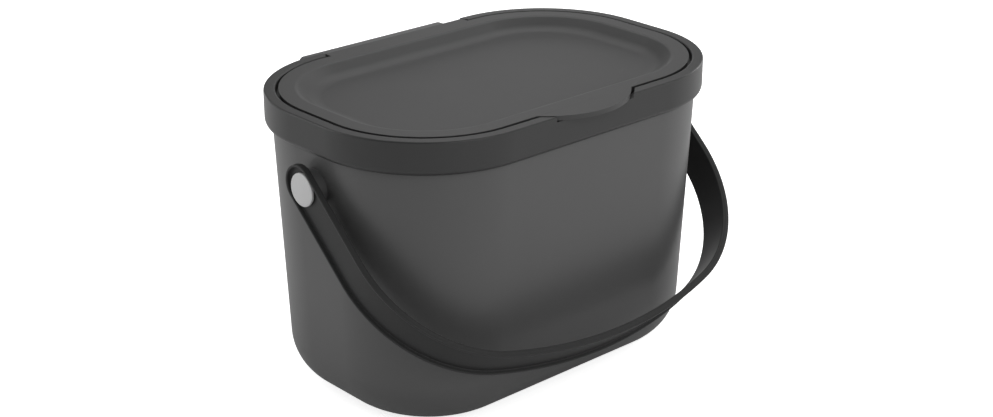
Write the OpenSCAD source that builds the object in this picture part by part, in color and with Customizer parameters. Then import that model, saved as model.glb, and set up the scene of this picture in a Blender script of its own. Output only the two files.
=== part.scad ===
// Kitchen compost caddy: tapered bucket, lift-off rim frame, flush hinged lid and strap handle.
// Millimetres. X runs along the long side, -Y is the lift-tab side, Z is up from the resting face.

/* [Overall size] */
// Width over the rim frame
rim_w = 235; // [210:1:270]
// Depth over the rim frame
rim_d = 155.5; // [146:0.5:180]
// Plan corner radius of the rim frame
rim_r = 64; // [60:1:70]
// Height to the top of the lid
total_h = 159; // [150:1:190]

/* [Bucket] */
// Wall and base thickness of the bucket
wall_t = 1.9; // [1.6:0.1:2.4]
// Draft of the bucket walls, in degrees
draft = 2.45; // [1:0.05:3]
// Radius between the base and the walls
base_fillet = 27; // [18:1:32]
// Width of the hanging lip at the back
lip_w = 94.8; // [60:0.2:94.8]
// Reach of the hanging lip behind the rim frame
lip_reach = 22; // [16:0.5:26]
// Thickness of the hanging lip
lip_t = 2; // [1.6:0.1:3]
// Outer radius of the lip's rolled edge
lip_roll_r = 6; // [4:0.5:8]
// Height of the lip's straight drop below the roll
lip_drop = 6; // [3:0.5:10]

/* [Rim frame] */
// Height of the rim frame's outer band
frame_h = 17.5; // [16:0.5:20]
// Thickness of the outer band
band_t = 2; // [1.6:0.1:2.4]
// Thickness of the flat top face
web_t = 2.2; // [1.8:0.1:2.6]
// Width of the flat top face
web_w = 6; // [5.6:0.1:6.4]
// Radius of the band's rolled lower edge
band_round = 3.2; // [2.6:0.1:3.6]
// Thickness of the inner walls
inner_t = 1.6; // [1.4:0.1:1.8]
// Depth of the lid seat below the top face
seat_drop = 3.9; // [3.9:0.1:4.4]
// Thickness of the lid seat
seat_t = 1.8; // [1.4:0.1:2.2]
// Width of the lid seat
seat_w = 6; // [5:0.5:8]
// Depth of the bag skirt below the top face
skirt_depth = 16; // [12:0.5:24]
// Edge rounding of the top face
edge_r = 0.8; // [0.5:0.1:1]

/* [Lid] */
// Thickness of the lid panel
lid_t = 2.4; // [2:0.1:2.6]
// Depth of the lid's edge rim below its top
lid_rim_h = 3.6; // [3:0.1:3.6]
// Thickness of the lid's edge rim
lid_rim_t = 1.8; // [1.4:0.1:2.4]
// Width of the flat border round the dish
border_w = 8; // [6:0.5:14]
// Depth of the dish
dish_depth = 6; // [5:0.5:8]
// Slope of the dish side, in degrees
dish_slope = 35; // [25:1:45]
// Rounding at the dish's upper edge
dish_edge_r = 4; // [3:0.5:5]
// Rounding at the dish's floor
dish_floor_r = 14; // [8:1:14]
// Radius of the lift tab's outline
tab_r = 44; // [40:1:50]
// Reach of the lift tab beyond the rim frame
tab_reach = 6.8; // [4:0.2:10]

/* [Lid hinge] */
// Width of the hinge tongue
tongue_w = 95.8; // [95.8:0.2:97]
// Radius of the hinge barrel
barrel_r = 2.7; // [2.5:0.1:2.7]
// Radius of the moulded hinge pins
trunnion_r = 1.7; // [1.2:0.1:1.8]
// Length of the moulded hinge pins
trunnion_l = 3; // [2:0.1:3]
// Thickness of the frame's bearing cheeks
cheek_t = 3; // [2.4:0.1:3.2]

/* [Handle] */
// Width of the strap
strap_w = 20.6; // [18:0.2:24]
// Overall thickness of the strap
strap_t = 3.6; // [3:0.1:4.4]
// Depth of the channel in the strap's outer face
channel_depth = 2; // [1.2:0.1:2.2]
// Width of the raised edges beside the channel
strap_edge = 1.4; // [1:0.1:1.8]
// Reach of each arm's straight part beyond its pivot
eye_reach = 2.9; // [0:0.1:5]
// Straight length of each arm from its pivot
arm_l = 48.2; // [40:0.2:60]
// Radius of the handle's corners
corner_r = 73.2; // [60:0.1:90]
// Radius of the grip's slow curve
grip_r = 252; // [200:1:400]
// Angle of the hanging handle below level, in degrees
handle_tilt = 42.2; // [30:0.1:45]
// Depth of the pivots below the top of the lid
pivot_drop = 35; // [31:0.5:41]

/* [Pivots] */
// Radius of the bosses on the bucket's sides
boss_r = 9; // [8:0.1:10]
// Radius of the pivot pins' shanks
shank_r = 4; // [3:0.1:4.5]
// Thickness of a head's edge
head_t = 1.4; // [1:0.1:1.6]
// Rise of a head's domed face
dome_h = 0.4; // [0.3:0.1:0.6]
// Extra radius of the snap barb behind the wall
barb_extra = 0.9; // [0.4:0.1:1.2]
// Length of the snap barb
barb_l = 2.4; // [1.6:0.1:4]
// Width of the slot that lets the barb spring
barb_slot = 1.4; // [1:0.1:2]

/* [Clearances] */
// Gap between parts that seat on each other
seat_gap = 0.3; // [0.2:0.05:0.4]
// Gap between the lid's edge and the rim frame
lid_gap = 1.1; // [0.9:0.05:1.3]
// Gap round the lift tab and under it
tab_gap = 0.9; // [0.6:0.05:1.2]
// Gap at each end of the hinge barrel
tongue_gap = 0.6; // [0.4:0.05:0.8]
// Gap between the bucket's rim and the outer band
band_gap = 1.35; // [1:0.05:1.6]
// Gap between the rolled lower edge and the bucket's rim
roll_gap = 0.45; // [0.35:0.05:0.6]
// Gap for the bag between the skirt and the bucket's wall
bag_gap = 1; // [0.8:0.05:1.4]
// Gap between the handle's arms and the rim frame
arm_gap = 1; // [0.6:0.05:1.2]
// Gap round the pivot pins' heads in their recesses
head_gap = 0.4; // [0.2:0.05:0.6]
// Radial running clearance of pins in their bores
running_gap = 0.08; // [0.05:0.01:0.1]

/* [Hidden] */
$fn = 96;
over = 1;
// plan: every outline shares these corner centres, and differs only in its radius
cx = rim_w / 2 - rim_r;
cy = rim_d / 2 - rim_r;
frame_z = total_h - frame_h;
web_in = rim_r - web_w;
// bucket
seat_z = total_h - seat_drop;
bucket_h = seat_z - seat_t - seat_gap;
rim_rho = rim_r - band_t - band_gap;
base_rho = rim_rho - bucket_h * tan(draft);
fillet_rho = base_rho + base_fillet * (tan(draft) - 1 / cos(draft));
// lid
lid_rho = web_in - lid_gap;
dish_rho = lid_rho - border_w;
dish_run = (dish_depth - (dish_edge_r + dish_floor_r) * (1 - cos(dish_slope))) / tan(dish_slope);
floor_rho = dish_rho - (dish_edge_r + dish_floor_r) * sin(dish_slope) - dish_run;
tab_y = tab_r - rim_d / 2 - tab_reach;
tab_pocket_z = total_h - lid_t - tab_gap;
// hinge
hinge_y = rim_d / 2 - barrel_r;
hinge_z = total_h - barrel_r;
recess_x = tongue_w / 2 + tongue_gap;
recess_y = hinge_y - barrel_r - tab_gap;
relief_r = 1.1;
relief_depth = 1.2;
// handle
pivot_z = total_h - pivot_drop;
arm_in = rim_w / 2 + arm_gap;
arm_out = arm_in + strap_t;
web_out = arm_out - channel_depth;
eye_r = strap_w / 2;
corner_x = arm_out - corner_r;
corner_angle = acos(corner_x / (grip_r - corner_r));
grip_l = arm_l - (grip_r - corner_r) * sin(corner_angle);
// pivot pins
boss_end = arm_in - seat_gap;
wall_x = cx + rho_at(pivot_z);
bore_r = shank_r + running_gap;
head_x = web_out + seat_gap;
head_r = eye_r - strap_edge - head_gap;
barb_x = wall_x - wall_t / cos(draft) - (shank_r + barb_extra) * tan(draft) - seat_gap;

// radius of the bucket's outer wall, from the corner centres, at height z
function rho_at(z) = base_rho + z * tan(draft);

// carries a profile, drawn as (radius, height), round the rounded-rectangle plan
module sweep() {
  for (my = [0, 1]) mirror([0, my, 0]) {
    translate([-cx, cy, 0]) rotate([90, 0, 90]) linear_extrude(2 * cx) children();
    for (mx = [0, 1]) mirror([mx, 0, 0])
      translate([cx, cy, 0]) rotate_extrude(angle = 90) children();
  }
  for (mx = [0, 1]) mirror([mx, 0, 0])
    translate([cx, cy, 0]) rotate([90, 0, 0]) linear_extrude(2 * cy) children();
}

// fills the rectangle between the corner centres
module middle(z, t) {
  translate([-cx, -cy, z]) cube([2 * cx, 2 * cy, t]);
}

// the corner that a rounding of radius r takes off an upper right edge at the origin
module edge_cut(r) {
  translate([-r, -r]) difference() {
    square(r + over);
    circle(r);
  }
}

// ---- bucket ----

// everything inside the bucket's outer face moved inwards by t
module bucket_section(t) {
  r = base_fillet - t;
  translate([fillet_rho, base_fillet]) circle(r);
  polygon([
    [0, t],
    [fillet_rho, t],
    [fillet_rho, base_fillet],
    [fillet_rho + r * cos(draft), base_fillet - r * sin(draft)],
    [rho_at(bucket_h) - t / cos(draft), bucket_h],
    [0, bucket_h]
  ]);
}

module bucket_wall() {
  difference() {
    bucket_section(0);
    bucket_section(wall_t);
    translate([0, bucket_h]) square([rho_at(bucket_h) - wall_t / cos(draft), over]);
  }
}

// hanging lip: a flat plate that rolls over and drops, in (depth, height)
module lip_section() {
  root = cy + rim_rho - wall_t / 2;
  roll = rim_d / 2 + lip_reach - lip_roll_r;
  mid = bucket_h - lip_roll_r;
  translate([root, bucket_h - lip_t]) square([roll - root, lip_t]);
  translate([roll + lip_roll_r - lip_t, mid - lip_drop]) square([lip_t, lip_drop]);
  translate([roll, mid]) intersection() {
    difference() {
      circle(lip_roll_r);
      circle(lip_roll_r - lip_t);
    }
    square(lip_roll_r);
  }
}

// closes one end of the lip and braces it against the wall
module lip_gusset() {
  root = cy + rim_rho - wall_t / 2;
  end = rim_d / 2 + lip_reach - lip_t / 2;
  low = bucket_h - lip_roll_r - lip_drop;
  polygon([[root, bucket_h - lip_t / 2], [root, low], [end - lip_roll_r, low], [end, bucket_h - lip_roll_r],
    [end - lip_roll_r, bucket_h - lip_t / 2]]);
}

module bucket() {
  color("dimgray") difference() {
    union() {
      sweep() bucket_wall();
      middle(0, wall_t);
      translate([-lip_w / 2, 0, 0]) rotate([90, 0, 90]) linear_extrude(lip_w) lip_section();
      for (mx = [0, 1]) mirror([mx, 0, 0]) {
        translate([lip_w / 2 - lip_t, 0, 0]) rotate([90, 0, 90]) linear_extrude(lip_t) lip_gusset();
        translate([wall_x - wall_t / 2, 0, pivot_z]) rotate([0, 90, 0])
          cylinder(r = boss_r, h = boss_end - wall_x + wall_t / 2);
      }
    }
    for (mx = [0, 1]) mirror([mx, 0, 0])
      translate([wall_x - 3 * wall_t, 0, pivot_z]) rotate([0, 90, 0])
        cylinder(r = bore_r, h = boss_end - wall_x + 3 * wall_t + over);
  }
}

// ---- rim frame ----

module frame_section() {
  roll_rho = rim_r - band_round;
  roll_z = frame_z + band_round;
  roll_end = rim_rho + roll_gap;
  // outer band, rolled in at the bottom, with the flat top face
  difference() {
    union() {
      translate([web_in, roll_z]) square([web_w, total_h - roll_z]);
      translate([roll_rho, roll_z]) circle(band_round);
    }
    translate([web_in - over, frame_z - over])
      square([roll_end - web_in + over, total_h - web_t - frame_z + over]);
    translate([roll_rho, roll_z]) circle(band_round - band_t);
    translate([web_in - over, roll_z]) square([web_w - band_t + over, total_h - web_t - roll_z]);
    translate([rim_r, total_h]) edge_cut(edge_r);
    translate([web_in, total_h]) mirror([1, 0]) edge_cut(edge_r);
  }
  // wall beside the lid, its seat, and the skirt that holds the bag against the bucket
  translate([web_in, seat_z - seat_t]) square([inner_t, seat_drop + seat_t - web_t]);
  translate([web_in - seat_w, seat_z - seat_t]) square([seat_w + inner_t, seat_t]);
  translate([skirt_rho() - inner_t, total_h - skirt_depth])
    square([inner_t, skirt_depth - seat_drop]);
}

// outer radius of the skirt, clear of the bucket's tapered wall at the skirt's foot
function skirt_rho() = rho_at(total_h - skirt_depth) - wall_t / cos(draft) - bag_gap;

// tray below the lift tab, so that the cut for the tab has a floor
module tab_tray() {
  intersection() {
    sweep() translate([web_in, tab_pocket_z - inner_t]) square([web_w - band_t / 2, inner_t + tab_gap]);
    translate([0, tab_y, tab_pocket_z - 2 * inner_t]) cylinder(r = tab_r + tab_gap + inner_t, h = 4 * inner_t);
    translate([-rim_w / 2, -rim_d, 0]) cube([rim_w, rim_d, total_h]);
  }
}

module rim_frame() {
  color("gray") difference() {
    union() {
      sweep() frame_section();
      tab_tray();
      for (mx = [0, 1]) mirror([mx, 0, 0])
        translate([recess_x, cy + web_in, seat_z - seat_t])
          cube([cheek_t, web_w - band_t / 2, seat_drop + seat_t - web_t / 2]);
    }
    // clearance for the lift tab
    translate([0, tab_y, tab_pocket_z]) cylinder(r = tab_r + tab_gap, h = lid_t + tab_gap + over);
    // gap at the back for the lid's tongue and the bucket's lip
    translate([-recess_x, recess_y, frame_z - over])
      cube([2 * recess_x, rim_d / 2 - recess_y + over, frame_h + 2 * over]);
    for (mx = [0, 1]) mirror([mx, 0, 0]) {
      translate([recess_x - over, hinge_y, hinge_z]) rotate([0, 90, 0])
        cylinder(r = trunnion_r + running_gap, h = cheek_t + 2 * over);
      translate([recess_x, cy + web_in + relief_r / 2, total_h - relief_depth])
        cylinder(r = relief_r, h = relief_depth + over);
    }
  }
}

// ---- lid ----

// everything below the lid's upper face moved down by t
module lid_section(t) {
  low = total_h - dish_depth - lid_t - 2 * over - t;
  edge = [dish_rho, total_h - dish_edge_r];
  floor_c = [floor_rho, total_h - dish_depth + dish_floor_r];
  side = [sin(dish_slope), -cos(dish_slope)];
  difference() {
    union() {
      polygon([
        [0, low],
        [0, total_h - dish_depth - t],
        [floor_rho, total_h - dish_depth - t],
        floor_c + (dish_floor_r + t) * side,
        edge - (dish_edge_r - t) * side,
        [dish_rho, total_h - t],
        [lid_rho + t, total_h - t],
        [lid_rho + t, low]
      ]);
      translate(edge) circle(dish_edge_r - t);
    }
    translate(floor_c) circle(dish_floor_r + t);
  }
}

module lid_panel() {
  difference() {
    union() {
      difference() {
        lid_section(0);
        lid_section(lid_t);
      }
      translate([lid_rho - lid_rim_t, total_h - lid_rim_h]) square([lid_rim_t, lid_rim_h]);
    }
    translate([lid_rho, total_h]) edge_cut(edge_r / 2);
  }
}

module lid() {
  root = lid_rho - lid_rim_t;
  color("slategray") union() {
    sweep() lid_panel();
    middle(total_h - dish_depth - lid_t, lid_t);
    // lift tab
    intersection() {
      translate([0, tab_y, total_h - lid_t]) cylinder(r = tab_r, h = lid_t);
      translate([-tab_r, -rim_d, 0]) cube([2 * tab_r, rim_d - cy - root, 2 * total_h]);
    }
    // hinge tongue, barrel and pins
    translate([-tongue_w / 2, cy + root, total_h - lid_t]) cube([tongue_w, hinge_y - cy - root, lid_t]);
    translate([-tongue_w / 2, hinge_y, hinge_z]) rotate([0, 90, 0]) cylinder(r = barrel_r, h = tongue_w);
    translate([-tongue_w / 2 - trunnion_l, hinge_y, hinge_z]) rotate([0, 90, 0])
      cylinder(r = trunnion_r, h = tongue_w + 2 * trunnion_l);
  }
}

// ---- handle ----

// area inside the handle's outline, moved inwards by t, as (across, away from the pivots)
module handle_area(t) {
  reach = 2 * grip_r;
  translate([-arm_out + t, -eye_reach]) square([2 * (arm_out - t), arm_l + eye_reach]);
  intersection() {
    union() {
      for (mx = [0, 1]) mirror([mx, 0]) translate([corner_x, arm_l]) circle(corner_r - t);
      translate([-corner_x, arm_l]) square([2 * corner_x, corner_r / 2]);
      intersection() {
        translate([0, grip_l]) circle(grip_r - t, $fn = 4 * $fn);
        polygon([[0, grip_l], [reach * cos(corner_angle), grip_l + reach * sin(corner_angle)],
          [-reach * cos(corner_angle), grip_l + reach * sin(corner_angle)]]);
      }
    }
    translate([-arm_out, arm_l]) square([2 * arm_out, grip_r]);
  }
}

module handle() {
  color("darkslategray") translate([0, 0, pivot_z]) rotate([180 + handle_tilt, 0, 0]) difference() {
    union() {
      linear_extrude(strap_w, center = true) difference() {
        handle_area(0);
        handle_area(strap_t);
        translate([-arm_in, -eye_reach - over]) square([2 * arm_in, 2 * over]);
      }
      for (mx = [0, 1]) mirror([mx, 0, 0])
        translate([arm_in, -eye_reach, 0]) rotate([0, 90, 0]) cylinder(r = eye_r, h = strap_t);
    }
    // channel along the strap and round the eyes
    linear_extrude(strap_w - 2 * strap_edge, center = true) difference() {
      translate([-arm_out - over, -eye_reach])
        square([2 * (arm_out + over), eye_reach + arm_l + 2 * corner_r]);
      handle_area(channel_depth);
    }
    for (mx = [0, 1]) mirror([mx, 0, 0]) {
      translate([web_out, -eye_reach, 0]) rotate([0, 90, 0]) cylinder(r = eye_r - strap_edge, h = strap_t);
      translate([arm_in - over, 0, 0]) rotate([0, 90, 0]) cylinder(r = bore_r, h = strap_t);
    }
  }
}

// ---- pivot pins ----

// snap-in pin on the +X side: domed head, shank through the handle's eye, split barb behind the wall
module pivot_pin() {
  dome_r = (head_r * head_r + dome_h * dome_h) / (2 * dome_h);
  barb_r = shank_r + barb_extra;
  translate([0, 0, pivot_z]) rotate([0, 90, 0]) difference() {
    union() {
      translate([0, 0, head_x]) cylinder(r = head_r, h = head_t);
      intersection() {
        translate([0, 0, head_x + head_t + dome_h - dome_r]) sphere(dome_r, $fn = 4 * $fn);
        translate([0, 0, head_x + head_t / 2]) cylinder(r = head_r, h = head_t + dome_h);
      }
      translate([0, 0, barb_x - barb_l]) cylinder(r = shank_r, h = head_x - barb_x + barb_l);
      translate([0, 0, barb_x - barb_l]) cylinder(r1 = shank_r, r2 = barb_r, h = barb_l);
    }
    translate([-barb_r - over, -barb_slot / 2, barb_x - barb_l - over])
      cube([2 * (barb_r + over), barb_slot, barb_l + wall_t + over]);
  }
}

module pivot_pin_right() {
  color("gainsboro") pivot_pin();
}

module pivot_pin_left() {
  color("gainsboro") mirror([1, 0, 0]) pivot_pin();
}

bucket();
rim_frame();
lid();
handle();
pivot_pin_left();
pivot_pin_right();
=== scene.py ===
"""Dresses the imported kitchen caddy: moulded bucket, rim frame, lid, strap handle and snap pins.

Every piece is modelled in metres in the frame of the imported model, takes its place from that frame,
and rides on the body that it belongs to.
"""

import logging
import math
from dataclasses import dataclass, field
from enum import Enum
from typing import Any, Callable, Iterable, Mapping, Sequence

import bmesh
import bpy
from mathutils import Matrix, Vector


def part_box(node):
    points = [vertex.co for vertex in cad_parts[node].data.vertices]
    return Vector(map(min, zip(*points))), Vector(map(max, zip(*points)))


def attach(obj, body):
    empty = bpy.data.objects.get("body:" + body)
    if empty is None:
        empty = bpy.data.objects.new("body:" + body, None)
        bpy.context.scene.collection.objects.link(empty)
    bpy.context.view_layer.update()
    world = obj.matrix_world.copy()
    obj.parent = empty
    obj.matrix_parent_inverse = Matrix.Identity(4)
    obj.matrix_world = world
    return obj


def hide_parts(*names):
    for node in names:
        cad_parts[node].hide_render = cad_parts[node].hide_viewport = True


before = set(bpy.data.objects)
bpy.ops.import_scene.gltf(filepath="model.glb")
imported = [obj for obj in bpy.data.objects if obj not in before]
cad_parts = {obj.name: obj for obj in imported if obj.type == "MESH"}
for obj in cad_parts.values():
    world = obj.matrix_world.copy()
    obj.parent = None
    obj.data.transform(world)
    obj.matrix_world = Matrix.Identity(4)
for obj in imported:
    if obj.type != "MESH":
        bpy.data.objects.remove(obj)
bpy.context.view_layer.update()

MM = 0.001  # a millimetre in Blender's metres
WELD = 0.002 * MM  # points nearer than this are one point
THROUGH = 20 * MM  # length of a cutter that passes right through a wall

# sizes that two or more pieces share
PIVOT_HEIGHT = 124 * MM
PIN_HOLE = 4.08 * MM
LID_THICKNESS = 2.4 * MM
TAB_RADIUS = 44 * MM
BARREL_RADIUS = 2.7 * MM

WHITE = (1.0, 1.0, 1.0, 1.0)
Point = tuple[float, float]
log = logging.getLogger("caddy")


# ---------------------------------------------------------------------------
# modelling helpers
# ---------------------------------------------------------------------------


class Join(Enum):
    """How one solid is combined with another."""

    ADD = "UNION"
    CUT = "DIFFERENCE"
    KEEP_COMMON = "INTERSECT"


class Axis(Enum):
    """The axis of a round blank, with the turn that lays it there."""

    LONG_SIDE = (0.0, math.pi / 2, 0.0)
    UPRIGHT = (0.0, 0.0, 0.0)


def deselect_all() -> None:
    """Leaves nothing selected, so that the next operator acts on its own piece alone."""
    bpy.ops.object.select_all(action="DESELECT")


def direction(azimuth: float, elevation: float) -> Vector:
    """Gives the direction from the caddy to a place round it.

    Args:
        azimuth: Degrees from the front, positive to the caddy's +X side.
        elevation: Degrees above the level.

    Returns:
        A vector of length 1.
    """
    az, el = math.radians(azimuth), math.radians(elevation)
    return Vector((math.sin(az) * math.cos(el), -math.cos(az) * math.cos(el), math.sin(el)))


def place_facing(thing: bpy.types.Object, target: Vector, away: Vector, distance: float) -> None:
    """Adds a lamp or a camera to the scene, facing a point.

    Args:
        thing: The lamp or the camera.
        target: Point that it faces.
        away: Direction from that point to it.
        distance: Distance from that point to it.
    """
    bpy.context.scene.collection.objects.link(thing)
    thing.location = target + away * distance
    thing.rotation_euler = (-away).to_track_quat("-Z", "Y").to_euler()


def select_only(piece: bpy.types.Object) -> None:
    """Selects one object and makes it active.

    Args:
        piece: The object to work on.
    """
    deselect_all()
    piece.select_set(True)
    bpy.context.view_layer.objects.active = piece


def arc(centre: Point, radius: float, start: float, end: float, steps: int) -> list[Point]:
    """Works out the points of a round stretch of a profile.

    Args:
        centre: Centre of the arc, as (out, up).
        radius: Radius in metres.
        start: Angle of the first point in degrees, counter-clockwise from "out".
        end: Angle of the last point in degrees.
        steps: Number of straight pieces.

    Returns:
        The points from start to end, both included.
    """
    angles = (math.radians(start + (end - start) * step / steps) for step in range(steps + 1))
    return [(centre[0] + radius * math.cos(a), centre[1] + radius * math.sin(a)) for a in angles]


class Sketch:
    """One mesh being drawn in edit mode: a point, then lines, then sweeps."""

    def __init__(self, name: str, start: Sequence[float]) -> None:
        """Puts down the first point.

        Args:
            name: Name of the object and of its mesh.
            start: Place of the point.
        """
        deselect_all()
        bpy.ops.mesh.primitive_plane_add(size=MM)
        self.piece = bpy.context.object
        self.piece.name = name
        self.piece.data.name = name
        bpy.ops.object.mode_set(mode="EDIT")
        bpy.ops.mesh.merge(type="CENTER")
        bpy.ops.transform.translate(value=tuple(start))
        self.pen = Vector(start)

    def line(self, points: Iterable[Sequence[float]]) -> None:
        """Extrudes the last point from place to place.

        Args:
            points: The places, in order.
        """
        for point in points:
            step = Vector(point) - self.pen
            bpy.ops.mesh.extrude_region_move(TRANSFORM_OT_translate={"value": tuple(step)})
            self.pen = Vector(point)

    def select_where(self, test: Callable[[Vector], bool]) -> None:
        """Selects the points that pass a test, and what lies between them.

        Args:
            test: Takes a point's place and says whether it is wanted.
        """
        bpy.ops.mesh.select_all(action="DESELECT")
        mesh = bmesh.from_edit_mesh(self.piece.data)
        for vertex in mesh.verts:
            vertex.select_set(test(vertex.co))
        mesh.select_flush(True)
        bmesh.update_edit_mesh(self.piece.data)

    def close(self) -> None:
        """Joins the two loose ends of the line."""
        bpy.ops.mesh.select_all(action="DESELECT")
        mesh = bmesh.from_edit_mesh(self.piece.data)
        for vertex in mesh.verts:
            vertex.select_set(len(vertex.link_edges) == 1)
        bmesh.update_edit_mesh(self.piece.data)
        bpy.ops.mesh.edge_face_add()
        bpy.ops.mesh.select_all(action="SELECT")

    def extrude(self, step: Sequence[float]) -> None:
        """Extrudes what is selected, and leaves the new end selected."""
        bpy.ops.mesh.extrude_region_move(TRANSFORM_OT_translate={"value": tuple(step)})

    def spin(
        self, centre: Sequence[float], axis: Sequence[float], degrees: float, steps: int
    ) -> None:
        """Sweeps what is selected round an axis, and leaves the new end selected.

        Args:
            centre: A point on the axis.
            axis: Direction of the axis; the turn is right-handed about it.
            degrees: Angle of the turn.
            steps: Number of pieces.
        """
        # the operator counts its angle left-handed
        bpy.ops.mesh.spin(
            steps=steps, angle=-math.radians(degrees), center=tuple(centre), axis=tuple(axis)
        )

    def weld(self) -> None:
        """Merges points that fell on each other, fills what is open and turns faces outwards."""
        bpy.ops.mesh.select_all(action="SELECT")
        bpy.ops.mesh.remove_doubles(threshold=WELD)
        bpy.ops.mesh.fill_holes(sides=0)
        bpy.ops.mesh.select_all(action="SELECT")
        bpy.ops.mesh.normals_make_consistent(inside=False)

    def finish(self) -> bpy.types.Object:
        """Leaves edit mode and gives the object."""
        bpy.ops.object.mode_set(mode="OBJECT")
        return self.piece


def apply_modifier(piece: bpy.types.Object, kind: str, **settings: Any) -> None:
    """Adds a modifier, sets it and applies it.

    Args:
        piece: The object.
        kind: Blender's name for the modifier's type.
        settings: The modifier's settings.
    """
    select_only(piece)
    bpy.ops.object.modifier_add(type=kind)
    modifier = piece.modifiers[-1]
    for name, value in settings.items():
        setattr(modifier, name, value)
    bpy.ops.object.modifier_apply(modifier=modifier.name)


def combine(piece: bpy.types.Object, tool: bpy.types.Object, how: Join) -> None:
    """Combines a solid with another, which is used up.

    Args:
        piece: The solid that is kept.
        tool: The solid that is added, cut away or kept in common.
        how: Which of these is done.
    """
    apply_modifier(piece, "BOOLEAN", operation=how.value, object=tool, solver="EXACT")
    bpy.data.objects.remove(tool)


def smooth(piece: bpy.types.Object) -> None:
    """Smooths a piece's shading and keeps its flat faces flat.

    Args:
        piece: The object.
    """
    select_only(piece)
    bpy.ops.object.shade_smooth()
    apply_modifier(piece, "WEIGHTED_NORMAL", weight=50, keep_sharp=False)


def soften(piece: bpy.types.Object, radius: float, angle: float = 32.0, segments: int = 3) -> None:
    """Rounds a piece's sharp edges and smooths its shading.

    Args:
        piece: The object.
        radius: Width of the rounding.
        angle: Edges that turn by less than this many degrees stay as they are.
        segments: Number of strips across a rounding.
    """
    apply_modifier(
        piece,
        "BEVEL",
        width=radius,
        segments=segments,
        limit_method="ANGLE",
        angle_limit=math.radians(angle),
        use_clamp_overlap=True,
        miter_outer="MITER_ARC",
    )
    smooth(piece)


def disc(
    name: str,
    centre: Sequence[float],
    radius: float,
    depth: float,
    axis: Axis = Axis.UPRIGHT,
    sides: int = 128,
) -> bpy.types.Object:
    """Adds a round blank that is used to shape another piece.

    Args:
        name: Name of the blank.
        centre: Its middle.
        radius: Its radius.
        depth: Its length along its axis.
        axis: Direction of its axis.
        sides: Number of flats round it.

    Returns:
        The blank.
    """
    deselect_all()
    bpy.ops.mesh.primitive_cylinder_add(
        vertices=sides, radius=radius, depth=depth, location=tuple(centre), rotation=axis.value
    )
    blank = bpy.context.object
    blank.name = name
    bpy.ops.object.transform_apply(location=True, rotation=True, scale=True)
    return blank


def block(name: str, low: Sequence[float], high: Sequence[float]) -> bpy.types.Object:
    """Adds a rectangular blank that is used to shape another piece.

    Args:
        name: Name of the blank.
        low: Its lowest corner.
        high: Its highest corner.

    Returns:
        The blank.
    """
    deselect_all()
    middle = (Vector(low) + Vector(high)) / 2
    bpy.ops.mesh.primitive_cube_add(size=1, location=tuple(middle))
    blank = bpy.context.object
    blank.name = name
    blank.scale = Vector(high) - Vector(low)
    bpy.ops.object.transform_apply(location=True, rotation=True, scale=True)
    return blank


def prism(name: str, outline: Sequence[Point], start: float, end: float) -> bpy.types.Object:
    """Extrudes an outline in the plane across the caddy along its length.

    Args:
        name: Name of the solid.
        outline: Points as (y, z), in order.
        start: x of the first end face.
        end: x of the other.

    Returns:
        The solid.
    """
    sketch = Sketch(name, (start, *outline[0]))
    sketch.line([(start, *point) for point in outline[1:]])
    sketch.close()
    bpy.ops.mesh.edge_face_add()
    sketch.extrude((end - start, 0, 0))
    sketch.weld()
    return sketch.finish()


@dataclass(frozen=True)
class Plan:
    """The rounded rectangle that every moulding follows: all outlines share its corner centres."""

    centre_x: float
    centre_y: float
    corner_steps: int = 28

    def sweep(self, name: str, profile: Sequence[Point]) -> bpy.types.Object:
        """Carries a profile round the plan.

        Args:
            name: Name of the moulding.
            profile: Points as (distance from the corner centres, height). One that starts at the
                corner centres spans the middle, and any other is closed into a ring.

        Returns:
            The moulding.
        """
        x, y = self.centre_x, self.centre_y
        placed = [(x + out, y, up) for out, up in profile]
        sketch = Sketch(name, placed[0])
        sketch.line(placed[1:])
        if profile[0][0] > 0:
            sketch.close()
        bpy.ops.mesh.select_all(action="SELECT")
        runs = [(-2 * x, 0, 0), (0, -2 * y, 0), (2 * x, 0, 0), (0, 2 * y, 0)]
        corners = [(x, y, 0), (-x, y, 0), (-x, -y, 0), (x, -y, 0)]
        for corner, run in zip(corners, runs):
            sketch.spin(corner, (0, 0, 1), 90, self.corner_steps)
            sketch.extrude(run)
        sketch.weld()
        return sketch.finish()


# ---------------------------------------------------------------------------
# finishes
# ---------------------------------------------------------------------------


def linear_colour(code: str) -> tuple[float, float, float, float]:
    """Turns an sRGB hex value into Blender's linear colour.

    Args:
        code: Six hex digits, with or without a leading #.

    Returns:
        Red, green, blue and an alpha of 1.
    """
    digits = code.lstrip("#")
    shares = [int(digits[i : i + 2], 16) / 255 for i in (0, 2, 4)]
    red, green, blue = (
        share / 12.92 if share <= 0.04045 else ((share + 0.055) / 1.055) ** 2.4 for share in shares
    )
    return (red, green, blue, 1.0)


def add_node(
    tree: bpy.types.NodeTree,
    kind: str,
    values: Mapping[str, Any] | None = None,
    links: Mapping[str | int, bpy.types.NodeSocket] | None = None,
    **settings: Any,
) -> bpy.types.Node:
    """Adds one node with its settings, its socket values and its links.

    Args:
        tree: The tree that the node joins.
        kind: Blender's type name, such as "ShaderNodeTexNoise".
        values: Values of input sockets, by name.
        links: Output sockets that feed input sockets, by the input's name or number.
        settings: Attributes of the node itself.

    Returns:
        The node.
    """
    node = tree.nodes.new(kind)
    for name, value in settings.items():
        setattr(node, name, value)
    for name, value in (values or {}).items():
        node.inputs[name].default_value = value
    for name, socket in (links or {}).items():
        tree.links.new(socket, node.inputs[name])
    return node


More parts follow.
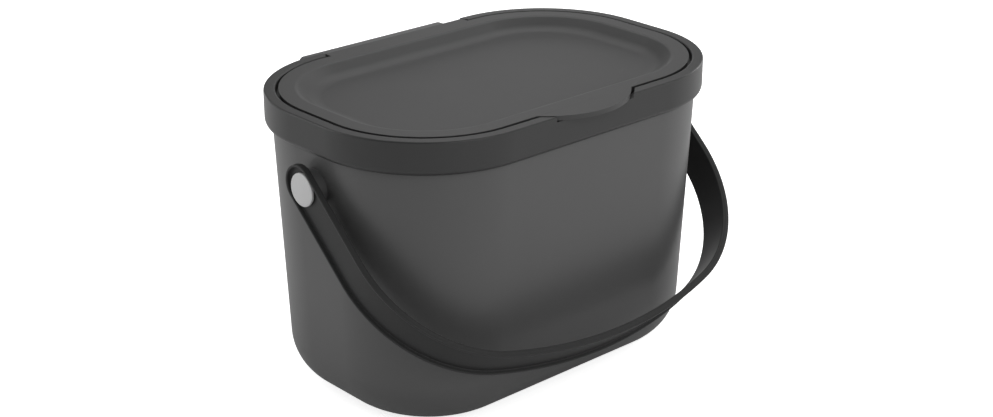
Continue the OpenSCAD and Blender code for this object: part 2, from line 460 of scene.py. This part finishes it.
@dataclass(frozen=True)
class MouldedPolypropylene:
    """Injection-moulded polypropylene from a spark-eroded tool: satin, with soft highlights.

    The tool's erosion leaves a fine even grain, and the melt leaves broad, faint changes of gloss.
    """

    name: str
    colour: str
    roughness: float = 0.5
    ior: float = 1.49
    specular: float = 0.5
    grain: float = 0.55 * MM
    grain_depth: float = 0.012 * MM
    gloss_patch: float = 38 * MM
    gloss_change: float = 0.02
    shade_change: float = 0.06

    def material(self) -> bpy.types.Material:
        """Builds the material.

        Returns:
            The material, named for this finish.
        """
        material = bpy.data.materials.new(self.name)
        material.use_nodes = True
        tree = material.node_tree
        tree.nodes.clear()
        place = add_node(tree, "ShaderNodeTexCoord").outputs["Object"]
        patches = add_node(
            tree,
            "ShaderNodeTexNoise",
            {"Scale": 1 / self.gloss_patch, "Detail": 3.0, "Roughness": 0.55},
            {"Vector": place},
        )
        gloss = add_node(
            tree,
            "ShaderNodeMapRange",
            {
                "To Min": self.roughness - self.gloss_change,
                "To Max": self.roughness + self.gloss_change,
            },
            {"Value": patches.outputs["Fac"]},
        )
        # erosion craters: real ones are under 0.1 mm, and are drawn coarser so that they show
        craters = add_node(
            tree,
            "ShaderNodeTexNoise",
            {"Scale": 1 / self.grain, "Detail": 2.0, "Roughness": 0.6},
            {"Vector": place},
        )
        bump = add_node(
            tree,
            "ShaderNodeBump",
            {"Strength": 1.0, "Distance": self.grain_depth},
            {"Height": craters.outputs["Fac"]},
        )
        base = linear_colour(self.colour)
        darker = tuple((1 - self.shade_change) * channel for channel in base[:3]) + (1.0,)
        tint = add_node(
            tree,
            "ShaderNodeMix",
            {"A": base, "B": darker},
            {"Factor": patches.outputs["Fac"]},
            data_type="RGBA",
        )
        shader = add_node(
            tree,
            "ShaderNodeBsdfPrincipled",
            {"IOR": self.ior, "Specular IOR Level": self.specular},
            {
                "Base Color": tint.outputs["Result"],
                "Roughness": gloss.outputs["Result"],
                "Normal": bump.outputs["Normal"],
            },
        )
        add_node(tree, "ShaderNodeOutputMaterial", links={"Surface": shader.outputs["BSDF"]})
        return material


# ---------------------------------------------------------------------------
# sub-assemblies
# ---------------------------------------------------------------------------


@dataclass
class SubAssembly:
    """A group of pieces that share a body."""

    plan: Plan
    finish: MouldedPolypropylene
    pieces: list[bpy.types.Object] = field(default_factory=list, init=False)

    def dress(self, body: str, slot: str, stands_for: Mapping[str, str]) -> None:
        """Gives the pieces their finish, their body and the nodes that they stand for.

        Args:
            body: Body that the pieces ride on.
            slot: The record's material slot; not used.
            stands_for: CAD node that each piece replaces, by the piece's name.
        """
        material = self.finish.material()
        for piece in self.pieces:
            piece.data.materials.clear()
            piece.data.materials.append(material)
            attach(piece, body)
            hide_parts(stands_for[piece.name])
            log.info("%s: %d faces", piece.name, len(piece.data.polygons))


@dataclass
class Bucket(SubAssembly):
    """The tapered bucket with its pivot bosses and the hanging lip behind the hinge."""

    wall: float = 1.9 * MM
    draft: float = 2.45  # degrees from upright
    rim_out: float = 60.65 * MM  # from the corner centres to the outer face at the rim
    foot_radius: float = 27 * MM
    edge_rounding: float = 0.5 * MM
    boss_radius: float = 9 * MM
    lip_width: float = 94.8 * MM
    lip_thickness: float = 2 * MM
    lip_roll: float = 6 * MM
    lip_drop: float = 6 * MM

    def out_at(self, height: float) -> float:
        """Gives the outer face's distance from the corner centres at a height."""
        return self.rim_out - (self.height - height) * math.tan(math.radians(self.draft))

    @property
    def height(self) -> float:
        """Height of the rim."""
        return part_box("bucket")[1].z

    def profile(self) -> list[Point]:
        """Draws the wall: outside from the foot up, over the rim and down the inside.

        Returns:
            Points as (distance from the corner centres, height).
        """
        lean = math.radians(self.draft)
        radius = self.foot_radius
        foot = self.out_at(0) + radius * (math.tan(lean) - 1 / math.cos(lean))
        rim = self.out_at(self.height)
        inner_rim = rim - self.wall / math.cos(lean)
        inner_radius = radius - self.wall
        return [
            (0, 0),
            *arc((foot, radius), radius, -90, -self.draft, steps=20),
            (rim, self.height),
            (inner_rim, self.height),
            *arc((foot, radius), inner_radius, -self.draft, -90, steps=16),
            (0, self.wall),
        ]

    def lip(self) -> bpy.types.Object:
        """Models the hanging lip: a plate that rolls over and drops.

        Returns:
            The lip, open at its ends.
        """
        root = self.plan.centre_y + self.rim_out - self.wall / 2
        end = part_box("bucket")[1].y
        top = self.height
        roll = (end - self.lip_roll, top - self.lip_roll)
        low = top - self.lip_roll - self.lip_drop
        inner = self.lip_roll - self.lip_thickness
        outline = [
            (root, top),
            *arc(roll, self.lip_roll, 90, 0, steps=12),
            (end, low),
            (end - self.lip_thickness, low),
            *arc(roll, inner, 0, 90, steps=10),
            (root, top - self.lip_thickness),
        ]
        half = self.lip_width / 2
        return prism("lip", outline, -half, half)

    def gusset(self, side: int) -> bpy.types.Object:
        """Models the web that closes one end of the lip.

        Args:
            side: 1 for the +X end and -1 for the -X end.

        Returns:
            The web.
        """
        root = self.plan.centre_y + self.rim_out - self.wall / 2
        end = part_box("bucket")[1].y - self.lip_thickness / 2
        low = self.height - self.lip_roll - self.lip_drop
        top = self.height - self.lip_thickness / 2
        outline = [
            (root, top),
            (root, low),
            (end - self.lip_roll, low),
            (end, self.height - self.lip_roll),
            (end - self.lip_roll, top),
        ]
        outer = side * self.lip_width / 2
        return prism("gusset", outline, outer, outer - side * self.lip_thickness)

    def build(self) -> None:
        """Models the bucket as one moulding."""
        shell = self.plan.sweep("bucket_shell", self.profile())
        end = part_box("bucket")[1].x
        inside = self.plan.centre_x + self.out_at(PIVOT_HEIGHT) - self.wall / 2
        for side in (1, -1):
            middle = (side * (inside + end) / 2, 0, PIVOT_HEIGHT)
            boss = disc("boss", middle, self.boss_radius, end - inside, Axis.LONG_SIDE, sides=64)
            combine(shell, boss, Join.ADD)
            mouth = (side * end, 0, PIVOT_HEIGHT)
            bore = disc("bore", mouth, PIN_HOLE, THROUGH, Axis.LONG_SIDE, sides=48)
            combine(shell, bore, Join.CUT)
            combine(shell, self.gusset(side), Join.ADD)
        combine(shell, self.lip(), Join.ADD)
        soften(shell, self.edge_rounding)
        self.pieces = [shell]


@dataclass
class RimFrame(SubAssembly):
    """The lift-off frame that covers the bucket's rim, seats the lid and carries its hinge."""

    corner_radius: float = 64 * MM
    band: float = 2 * MM
    face_width: float = 6 * MM
    face_thickness: float = 2.2 * MM
    roll: float = 3.2 * MM
    roll_end: float = 61.1 * MM  # from the corner centres to the end of the rolled lower edge
    inner_wall: float = 1.6 * MM
    seat_drop: float = 3.9 * MM
    seat_thickness: float = 1.8 * MM
    seat_width: float = 6 * MM
    skirt_out: float = 57.32 * MM  # from the corner centres to the skirt's outer face
    skirt_depth: float = 16 * MM
    clearance: float = 0.9 * MM  # behind the lid's hinge tongue and in the tray
    tray_gap: float = 0.35 * MM  # below the lift tab
    slot: float = 1.6 * MM  # beside the lift tab
    slot_height: float = 10 * MM
    recess_x: float = 48.5 * MM  # half the opening for the hinge tongue
    cheek: float = 3 * MM
    trunnion_bore: float = 1.78 * MM
    relief_radius: float = 1.4 * MM
    relief_depth: float = 1.2 * MM
    edge_rounding: float = 0.9 * MM
    edge_break: float = 0.3 * MM

    def profile(self) -> list[Point]:
        """Draws the section: band, rolled lower edge, inner wall, seat and bag skirt.

        Returns:
            Points as (distance from the corner centres, height).
        """
        low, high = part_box("rim_frame")
        top, bottom = high.z, low.z
        outer = self.corner_radius
        inner = outer - self.face_width
        roll = (outer - self.roll, bottom + self.roll)
        seat = top - self.seat_drop
        under = seat - self.seat_thickness
        skirt = top - self.skirt_depth
        r = self.edge_rounding
        return [
            *arc((inner + r, top - r), r, 180, 90, steps=5),
            *arc((outer - r, top - r), r, 90, 0, steps=5),
            *arc(roll, self.roll, 0, -90, steps=10),
            (self.roll_end, bottom + self.band),
            *arc(roll, self.roll - self.band, -60, 0, steps=5),
            (outer - self.band, top - self.face_thickness),
            (inner + self.inner_wall, top - self.face_thickness),
            (inner + self.inner_wall, under),
            (self.skirt_out, under),
            (self.skirt_out, skirt),
            (self.skirt_out - self.inner_wall, skirt),
            (self.skirt_out - self.inner_wall, under),
            (inner - self.seat_width, under),
            (inner - self.seat_width, seat),
            (inner, seat),
        ]

    def tray(self, floor: float, tab_y: float) -> bpy.types.Object:
        """Models the tray that closes the frame below the lift tab.

        Args:
            floor: Height of the tray's floor.
            tab_y: y of the centre of the tab's round edge.

        Returns:
            The tray, from the inner wall to the middle of the band.
        """
        radius = TAB_RADIUS + self.clearance + self.inner_wall
        tray = disc("tray", (0, tab_y, floor), radius, 2 * self.inner_wall)
        inner = self.corner_radius - self.face_width
        outer = self.corner_radius - self.band / 2
        low, high = floor - self.inner_wall, floor + self.clearance
        section = [(inner, low), (outer, low), (outer, high), (inner, high)]
        combine(tray, self.plan.sweep("envelope", section), Join.KEEP_COMMON)
        reach = TAB_RADIUS - tab_y
        front = block("front", (-TAB_RADIUS, -1.5 * reach, 0), (TAB_RADIUS, 0, 2 * high))
        combine(tray, front, Join.KEEP_COMMON)
        return tray

    def make_room_for_tab(self, rim: bpy.types.Object) -> None:
        """Adds the tray and opens the band above it.

        Args:
            rim: The frame's moulding.
        """
        tab_y = TAB_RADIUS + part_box("lid")[0].y
        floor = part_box("rim_frame")[1].z - LID_THICKNESS - self.tray_gap
        combine(rim, self.tray(floor, tab_y), Join.ADD)
        middle = (0, tab_y, floor + self.slot_height / 2)
        cut = disc("cut", middle, TAB_RADIUS + self.slot, self.slot_height, sides=256)
        combine(rim, cut, Join.CUT)

    def make_hinge_bearings(self, rim: bpy.types.Object) -> None:
        """Adds the cheeks, opens the back for the lid's tongue and bores the bearings.

        Args:
            rim: The frame's moulding.
        """
        low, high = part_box("rim_frame")
        top = high.z
        inner_y = self.plan.centre_y + self.corner_radius - self.face_width
        hinge_y = high.y - BARREL_RADIUS
        for side in (1, -1):
            edge = side * self.recess_x
            ends = sorted((edge, edge + side * self.cheek))
            cheek = block(
                "cheek",
                (ends[0], inner_y, top - self.seat_drop - self.seat_thickness),
                (ends[1], high.y - self.band / 2, top - self.face_thickness / 2),
            )
            combine(rim, cheek, Join.ADD)
        back = block(
            "back",
            (-self.recess_x, hinge_y - BARREL_RADIUS - self.clearance, low.z - MM),
            (self.recess_x, high.y + MM, top + MM),
        )
        combine(rim, back, Join.CUT)
        for side in (1, -1):
            edge = side * self.recess_x
            middle = (edge + side * self.cheek / 2, hinge_y, top - BARREL_RADIUS)
            length = self.cheek + 2 * MM
            bore = disc("bore", middle, self.trunnion_bore, length, Axis.LONG_SIDE, sides=32)
            combine(rim, bore, Join.CUT)
            corner = (edge, inner_y + self.relief_radius / 2, top)
            relief = disc("relief", corner, self.relief_radius, 2 * self.relief_depth, sides=32)
            combine(rim, relief, Join.CUT)

    def build(self) -> None:
        """Models the frame as one moulding."""
        rim = self.plan.sweep("rim_frame_moulding", self.profile())
        self.make_room_for_tab(rim)
        self.make_hinge_bearings(rim)
        soften(rim, self.edge_break)
        self.pieces = [rim]


@dataclass
class Lid(SubAssembly):
    """The flush lid with its dish, its lift tab, and the hinge tongue with its moulded pins."""

    edge_out: float = 56.5 * MM  # from the corner centres to the lid's edge
    rim_depth: float = 3.6 * MM
    rim_thickness: float = 1.8 * MM
    lip_edge: float = 0.4 * MM  # upright part of the edge, above its undercut
    undercut: float = 0.9 * MM
    border: float = 7.6 * MM
    dish_depth: float = 6 * MM
    dish_slope: float = 35  # degrees below the level
    dish_edge: float = 4 * MM  # radius where the border turns down
    dish_foot: float = 14 * MM  # radius where the slope meets the floor
    tongue_width: float = 95.8 * MM
    trunnion: float = 1.7 * MM
    trunnion_length: float = 3 * MM
    edge_break: float = 0.15 * MM

    def dish(self, drop: float) -> list[Point]:
        """Draws one face of the dish, from the middle of its floor out to its upper edge.

        Args:
            drop: Depth of this face below the lid's top face.

        Returns:
            Points as (distance from the corner centres, height).
        """
        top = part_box("lid")[1].z
        slope = math.radians(self.dish_slope)
        edge_r, foot_r = self.dish_edge - drop, self.dish_foot + drop
        dish_out = self.edge_out - self.border
        turned = (self.dish_edge + self.dish_foot) * (1 - math.cos(slope))  # depth of both bends
        run = (self.dish_depth - turned) / math.tan(slope)
        floor_out = dish_out - (self.dish_edge + self.dish_foot) * math.sin(slope) - run
        foot = (floor_out, top - self.dish_depth + self.dish_foot)
        edge = (dish_out, top - self.dish_edge)
        return [
            (0, top - self.dish_depth - drop),
            *arc(foot, foot_r, -90, -90 + self.dish_slope, steps=10),
            *arc(edge, edge_r, 90 + self.dish_slope, 90, steps=8),
        ]

    def profile(self) -> list[Point]:
        """Draws the panel: the dish, the flat border, the edge rim and the underside.

        Returns:
            Points as (distance from the corner centres, height).
        """
        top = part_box("lid")[1].z
        return [
            *self.dish(0),
            (self.edge_out, top),
            (self.edge_out, top - self.lip_edge),
            (self.edge_out - self.undercut, top - self.lip_edge - self.undercut / 2),
            (self.edge_out - self.undercut, top - self.rim_depth),
            (self.edge_out - self.rim_thickness, top - self.rim_depth),
            (self.edge_out - self.rim_thickness, top - LID_THICKNESS),
            *reversed(self.dish(LID_THICKNESS)),
        ]

    def build(self) -> None:
        """Models the lid as one moulding."""
        low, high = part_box("lid")
        top = high.z
        panel = self.plan.sweep("lid_panel", self.profile())
        root = self.plan.centre_y + self.edge_out - self.rim_thickness / 2
        middle = (0, TAB_RADIUS + low.y, top - LID_THICKNESS / 2)
        tab = disc("tab", middle, TAB_RADIUS, LID_THICKNESS, sides=256)
        behind = block(
            "behind", (-2 * TAB_RADIUS, -root, 0), (2 * TAB_RADIUS, 4 * TAB_RADIUS, 2 * top)
        )
        combine(tab, behind, Join.CUT)
        combine(panel, tab, Join.ADD)
        hinge_y, hinge_z = high.y - BARREL_RADIUS, top - BARREL_RADIUS
        half = self.tongue_width / 2
        tongue = block("tongue", (-half, root, top - LID_THICKNESS), (half, hinge_y, top))
        combine(panel, tongue, Join.ADD)
        middle = (0, hinge_y, hinge_z)
        barrel = disc("barrel", middle, BARREL_RADIUS, self.tongue_width, Axis.LONG_SIDE, sides=64)
        combine(panel, barrel, Join.ADD)
        for side in (1, -1):
            end = (side * half, hinge_y, hinge_z)
            length = 2 * self.trunnion_length
            pin = disc("pin", end, self.trunnion, length, Axis.LONG_SIDE, sides=32)
            combine(panel, pin, Join.ADD)
        soften(panel, self.edge_break)
        self.pieces = [panel]


@dataclass
class Handle(SubAssembly):
    """The swinging strap: a shallow channel section with a round eye at each end."""

    thickness: float = 3.6 * MM
    channel: float = 2 * MM
    edge: float = 1.4 * MM  # width of the channel's side walls
    half_width: float = 10.3 * MM
    eye_reach: float = 2.9 * MM  # straight part beyond the pivot
    arm: float = 48.2 * MM  # straight part from the pivot to the corner
    corner_radius: float = 73.2 * MM
    grip_radius: float = 252 * MM
    tilt: float = 42.2  # degrees below the level
    rounding: float = 0.45 * MM
    inner_step: float = 0.2 * MM  # the inner edge stands back by this much
    groove: float = 0.35 * MM  # depth of the fine groove along the strap's edge
    groove_place: float = 1.05 * MM
    groove_half: float = 0.21 * MM
    eye_steps: int = 28
    arm_steps: int = 6
    corner_steps: int = 36
    grip_steps: int = 24

    def half_section(self, outer: float) -> list[Point]:
        """Draws half of the strap's section from its middle line, over its edge and back.

        Args:
            outer: Distance of the outer face from the caddy's middle.

        Returns:
            Points as (across the thickness, across the width).
        """
        inner = outer - self.thickness
        web = outer - self.channel
        groove = inner + self.groove_place
        r = self.rounding
        w = self.half_width
        lip = w - self.edge
        return [
            (web, 0),
            (web, lip - r),
            *arc((web + r, lip - r), r, 180, 90, steps=3)[1:],
            *arc((outer - r, lip + r), r, -90, 0, steps=3),
            *arc((outer - r, w - r), r, 0, 90, steps=3),
            (groove + self.groove_half, w),
            (groove, w - self.groove),
            (groove - self.groove_half, w - self.inner_step),
            *arc((inner + r, w - r - self.inner_step), r, 90, 180, steps=3),
            (inner, 0),
        ]

    def half_strap(self, outer: float) -> bpy.types.Object:
        """Sweeps the section round one eye, along its arm, round its corner and half the grip.

        Args:
            outer: Distance of the arm's outer face from the caddy's middle.

        Returns:
            The +X half of the strap, lying level with its pivots on the X axis.
        """
        section = self.half_section(outer)
        end = self.eye_reach
        sketch = Sketch("handle_strap", (section[0][0], end, section[0][1]))
        sketch.line([(out, end, up) for out, up in section[1:]])
        bpy.ops.mesh.select_all(action="SELECT")
        sketch.spin((0, end, 0), (1, 0, 0), -180, self.eye_steps)
        bpy.ops.mesh.select_all(action="SELECT")
        bpy.ops.mesh.remove_doubles(threshold=WELD)
        sketch.select_where(lambda place: place.y < end + WELD / 2)
        sketch.extrude((0, -end, 0))
        for _ in range(self.arm_steps):
            sketch.extrude((0, -self.arm / self.arm_steps, 0))
        corner_x = outer - self.corner_radius
        swing = self.grip_radius - self.corner_radius
        turn = math.degrees(math.acos(corner_x / swing))
        grip_y = -self.arm + swing * math.sin(math.radians(turn))
        sketch.spin((corner_x, -self.arm, 0), (0, 0, 1), -turn, self.corner_steps)
        sketch.spin((0, grip_y, 0), (0, 0, 1), turn - 90, self.grip_steps)
        bpy.ops.mesh.select_all(action="SELECT")
        bpy.ops.mesh.normals_make_consistent(inside=False)
        return sketch.finish()

    def build(self) -> None:
        """Models the strap level, then tilts it to the angle at which it hangs."""
        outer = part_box("handle")[1].x
        strap = self.half_strap(outer)
        apply_modifier(strap, "MIRROR", use_axis=(True, False, False), merge_threshold=0.01 * MM)
        for side in (1, -1):
            hole = disc("hole", (side * outer, 0, 0), PIN_HOLE, THROUGH, Axis.LONG_SIDE, sides=48)
            combine(strap, hole, Join.CUT)
        select_only(strap)
        strap.rotation_euler = (math.radians(self.tilt), 0, 0)
        strap.location = (0, 0, PIVOT_HEIGHT)
        bpy.ops.object.transform_apply(location=True, rotation=True, scale=True)
        smooth(strap)
        self.pieces = [strap]


@dataclass
class PivotPins(SubAssembly):
    """The two snap-in pins with round domed heads."""

    head_radius: float = 8.5 * MM
    head_edge: float = 1.4 * MM
    dome: float = 0.4 * MM
    shank: float = 4 * MM
    barb_extra: float = 0.9 * MM  # how far the barb stands out beyond the shank
    barb: float = 2.4 * MM
    barb_slope: float = 0.6 * MM
    slot_width: float = 1.4 * MM
    rounding: float = 0.45 * MM
    rear_bevel: float = 0.2 * MM
    dome_blend: float = 0.02 * MM
    edge_break: float = 0.15 * MM

    def profile(self, tip: float, head: float) -> list[Point]:
        """Draws half of the pin's section, as (along the axis, radius).

        Args:
            tip: Place of the barb's end.
            head: Place of the middle of the domed face.

        Returns:
            The points from the tip to the dome.
        """
        r = self.rounding
        seat = head - self.dome - self.head_edge
        rounding = (head - self.dome - r + self.dome_blend, self.head_radius - r)
        dome_r = (self.head_radius**2 + self.dome**2) / (2 * self.dome)
        reach = math.degrees(math.asin((self.head_radius - r) / dome_r))
        dome = arc((head - dome_r, 0), dome_r, reach, 0, steps=8)
        barb_end = tip + self.barb
        catch = self.shank + self.barb_extra
        return [
            (tip, 0),
            (tip, self.shank - self.barb_slope),
            (barb_end - self.barb_slope, catch),
            (barb_end, catch),
            (barb_end, self.shank),
            (seat, self.shank),
            (seat, self.head_radius - self.rear_bevel),
            (seat + self.rear_bevel, self.head_radius),
            *arc(rounding, r, 90, 15, steps=5),
            *dome[1:-1],
            (head, 0),
        ]

    def build(self) -> None:
        """Models the right pin and mirrors a copy to the left."""
        low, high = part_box("pivot_pin_right")
        outline = self.profile(low.x, high.x)
        sketch = Sketch("right_snap_pin", (outline[0][0], 0, PIVOT_HEIGHT + outline[0][1]))
        sketch.line([(along, 0, PIVOT_HEIGHT + up) for along, up in outline[1:]])
        bpy.ops.mesh.select_all(action="SELECT")
        sketch.spin((0, 0, PIVOT_HEIGHT), (1, 0, 0), 360, 64)
        sketch.weld()
        right = sketch.finish()
        slot = block(
            "slot",
            (low.x - MM, -self.head_radius, PIVOT_HEIGHT - self.slot_width / 2),
            (low.x + 3 * self.barb, self.head_radius, PIVOT_HEIGHT + self.slot_width / 2),
        )
        combine(right, slot, Join.CUT)
        soften(right, self.edge_break, segments=2)
        select_only(right)
        bpy.ops.object.duplicate()
        left = bpy.context.object
        left.name = "left_snap_pin"
        left.scale = (-1, 1, 1)
        bpy.ops.object.transform_apply(location=True, rotation=True, scale=True)
        bpy.ops.object.mode_set(mode="EDIT")
        bpy.ops.mesh.select_all(action="SELECT")
        bpy.ops.mesh.normals_make_consistent(inside=False)
        bpy.ops.object.mode_set(mode="OBJECT")
        self.pieces = [right, left]


# ---------------------------------------------------------------------------
# studio
# ---------------------------------------------------------------------------


@dataclass(frozen=True)
class Softbox:
    """A large soft lamp that faces the caddy."""

    name: str
    azimuth: float
    elevation: float
    power: float
    size: float = 1.2
    distance: float = 1.6

    def add(self, target: Vector) -> None:
        """Hangs the lamp.

        Args:
            target: Point that the lamp faces.
        """
        data = bpy.data.lights.new(self.name, "AREA")
        data.shape = "SQUARE"
        data.size = self.size
        data.energy = self.power
        lamp = bpy.data.objects.new(self.name, data)
        place_facing(lamp, target, direction(self.azimuth, self.elevation), self.distance)


@dataclass(frozen=True)
class WhitePaper:
    """Matt paper that shows white to the camera, keeps a shadow, and shines softly in the plastic.

    Its shine in the plastic is a painted reflection: a white emission that only glossy rays see.
    Towards the caddy's foot a distance mask fades it out, as a painted shadow of the caddy on the
    paper.
    """

    name: str = "matt_white_paper"
    shown: str = "#F4F4F4"
    glow: float = 0.75
    bounced: str = "#BCBCBC"
    # painted reflection: strength of the glossy-only glow, faded out between the two distances below
    # as a painted shadow of the caddy
    painted_sheen: float = 0.32
    painted_shadow_inner: float = 60 * MM
    painted_shadow_outer: float = 200 * MM

    def painted_reflection(self, tree: bpy.types.NodeTree, is_glossy: bpy.types.NodeSocket) -> bpy.types.Node:
        """Builds the shine that only glossy rays see.

        Args:
            tree: The material's nodes.
            is_glossy: The light path's output for glossy rays.

        Returns:
            The emission.
        """
        # painted reflection with a painted shadow: the glow for glossy rays grows with distance from
        # the caddy's middle
        place = add_node(tree, "ShaderNodeTexCoord").outputs["Object"]
        away = add_node(tree, "ShaderNodeVectorMath", links={0: place}, operation="LENGTH")
        painted_sheen = add_node(
            tree,
            "ShaderNodeMapRange",
            {"From Min": self.painted_shadow_inner, "From Max": self.painted_shadow_outer, "To Max": self.painted_sheen},
            {"Value": away.outputs["Value"]},
        )
        strength = add_node(
            tree,
            "ShaderNodeMath",
            links={0: painted_sheen.outputs["Result"], 1: is_glossy},
            operation="MULTIPLY",
        )
        return add_node(
            tree, "ShaderNodeEmission", {"Color": WHITE}, {"Strength": strength.outputs["Value"]}
        )

    def material(self) -> bpy.types.Material:
        """Builds the material.

        Returns:
            The material, named for this finish.
        """
        material = bpy.data.materials.new(self.name)
        material.use_nodes = True
        tree = material.node_tree
        tree.nodes.clear()
        ray = add_node(tree, "ShaderNodeLightPath").outputs
        shown = add_node(tree, "ShaderNodeBsdfDiffuse", {"Color": linear_colour(self.shown)})
        glow = add_node(tree, "ShaderNodeEmission", {"Color": WHITE, "Strength": self.glow})
        to_camera = add_node(
            tree,
            "ShaderNodeAddShader",
            links={0: shown.outputs["BSDF"], 1: glow.outputs["Emission"]},
        )
        bounced = add_node(tree, "ShaderNodeBsdfDiffuse", {"Color": linear_colour(self.bounced)})
        # painted reflection: only glossy rays from the caddy see this glow
        painted_reflection = self.painted_reflection(tree, ray["Is Glossy Ray"])
        to_caddy = add_node(
            tree,
            "ShaderNodeAddShader",
            links={0: bounced.outputs["BSDF"], 1: painted_reflection.outputs["Emission"]},
        )
        paper = add_node(
            tree,
            "ShaderNodeMixShader",
            links={
                0: ray["Is Camera Ray"],
                1: to_caddy.outputs["Shader"],
                2: to_camera.outputs["Shader"],
            },
        )
        add_node(tree, "ShaderNodeOutputMaterial", links={"Surface": paper.outputs["Shader"]})
        return material


@dataclass(frozen=True)
class Studio:
    """Pale floor, soft lamps, white surroundings and the camera."""

    azimuth: float = -42.2
    elevation: float = 22.54
    distance: float = 983.3 * MM
    target: tuple[float, float, float] = (0, 0, 79.45 * MM)
    focal_length: float = 67.1  # in mm, on the sensor width below
    sensor_width: float = 36
    shift: tuple[float, float] = (0.00785, 0.0021)
    floor_size: float = 12.0  # metres
    floor_finish: WhitePaper = WhitePaper()
    surround: float = 0.42  # strength that lights the caddy
    surround_in_gloss: float = 0.05  # strength that its gloss reflects
    lamps: tuple[Softbox, ...] = (
        Softbox("back_left_box", -135, 30, power=5.2),
        Softbox("front_box", 0, 30, power=7.9),
        Softbox("right_box", 90, 30, power=4.0),
        Softbox("back_right_box", 135, 30, power=1.0),
        Softbox("high_back_right_box", 135, 60, power=6.0),
        Softbox("low_back_box", 180, 8, power=2.0, size=0.42),
        Softbox("low_back_left_box", -135, 8, power=2.0, size=0.42),
        Softbox("low_front_right_box", 45, 8, power=2.0, size=0.42),
        Softbox("low_right_box", 90, 8, power=3.0, size=0.42),
        Softbox("low_back_right_box", 137, 9, power=0.5, size=0.42),
    )

    def build(self) -> None:
        """Sets up the floor, the lamps, the surroundings and the camera."""
        self.add_floor()
        self.add_surround()
        for lamp in self.lamps:
            lamp.add(Vector(self.target))
        self.add_camera()

    def add_floor(self) -> None:
        """Lays a plain floor that shows white and keeps the caddy's shadow."""
        deselect_all()
        bpy.ops.mesh.primitive_plane_add(size=self.floor_size)
        floor = bpy.context.object
        floor.name = "studio_floor"
        floor.data.materials.append(self.floor_finish.material())

    def add_surround(self) -> None:
        """Lights the world evenly, white to the camera and dark in the plastic's gloss."""
        world = bpy.data.worlds.new("white_surround")
        bpy.context.scene.world = world
        world.use_nodes = True
        tree = world.node_tree
        tree.nodes.clear()
        ray = add_node(tree, "ShaderNodeLightPath")
        unseen = add_node(
            tree,
            "ShaderNodeMapRange",
            {"To Min": self.surround, "To Max": self.surround_in_gloss},
            {"Value": ray.outputs["Is Glossy Ray"]},
        )
        strength = add_node(
            tree,
            "ShaderNodeMapRange",
            {"To Max": 1.0},
            {"Value": ray.outputs["Is Camera Ray"], "To Min": unseen.outputs["Result"]},
        )
        sky = add_node(
            tree,
            "ShaderNodeBackground",
            {"Color": WHITE},
            {"Strength": strength.outputs["Result"]},
        )
        add_node(tree, "ShaderNodeOutputWorld", links={"Surface": sky.outputs["Background"]})

    def add_camera(self) -> None:
        """Places the camera."""
        data = bpy.data.cameras.new("camera")
        data.lens = self.focal_length
        data.sensor_width = self.sensor_width
        data.shift_x, data.shift_y = self.shift
        camera = bpy.data.objects.new("camera", data)
        away = direction(self.azimuth, self.elevation)
        place_facing(camera, Vector(self.target), away, self.distance)
        bpy.context.scene.camera = camera
        bpy.context.scene.view_settings.view_transform = "Standard"


def main() -> None:
    """Builds the caddy's pieces in order, then the studio."""
    logging.basicConfig(level=logging.INFO, format="%(name)s: %(message)s")
    low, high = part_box("rim_frame")
    corner = RimFrame.corner_radius
    plan = Plan((high.x - low.x) / 2 - corner, (high.y - low.y) / 2 - corner)
    body_finish = MouldedPolypropylene(
        "anthracite_polypropylene", "#535353", roughness=0.4, specular=0.62
    )
    rim_finish = MouldedPolypropylene(
        "anthracite_polypropylene_rim", "#373737", roughness=0.4, specular=0.43
    )
    lid_finish = MouldedPolypropylene(
        "anthracite_polypropylene_lid", "#3F3F3F", roughness=0.48, specular=0.55
    )
    strap_finish = MouldedPolypropylene(
        "anthracite_polypropylene_strap", "#353535", roughness=0.4, specular=0.24
    )
    pin_finish = MouldedPolypropylene("light_grey_polypropylene", "#D8D8D8", roughness=0.45)

    bucket = Bucket(plan, body_finish)
    bucket.build()
    bucket.dress("bucket_body", "body_plastic", {"bucket_shell": "bucket"})
    rim = RimFrame(plan, rim_finish)
    rim.build()
    rim.dress("frame_body", "frame_plastic", {"rim_frame_moulding": "rim_frame"})
    lid = Lid(plan, lid_finish)
    lid.build()
    lid.dress("lid_body", "lid_plastic", {"lid_panel": "lid"})
    handle = Handle(plan, strap_finish)
    handle.build()
    handle.dress("handle_body", "handle_plastic", {"handle_strap": "handle"})
    pins = PivotPins(plan, pin_finish)
    pins.build()
    pins.dress(
        "bucket_body",
        "pin_plastic",
        {"right_snap_pin": "pivot_pin_right", "left_snap_pin": "pivot_pin_left"},
    )
    Studio().build()


if __name__ == "__main__":
    main()
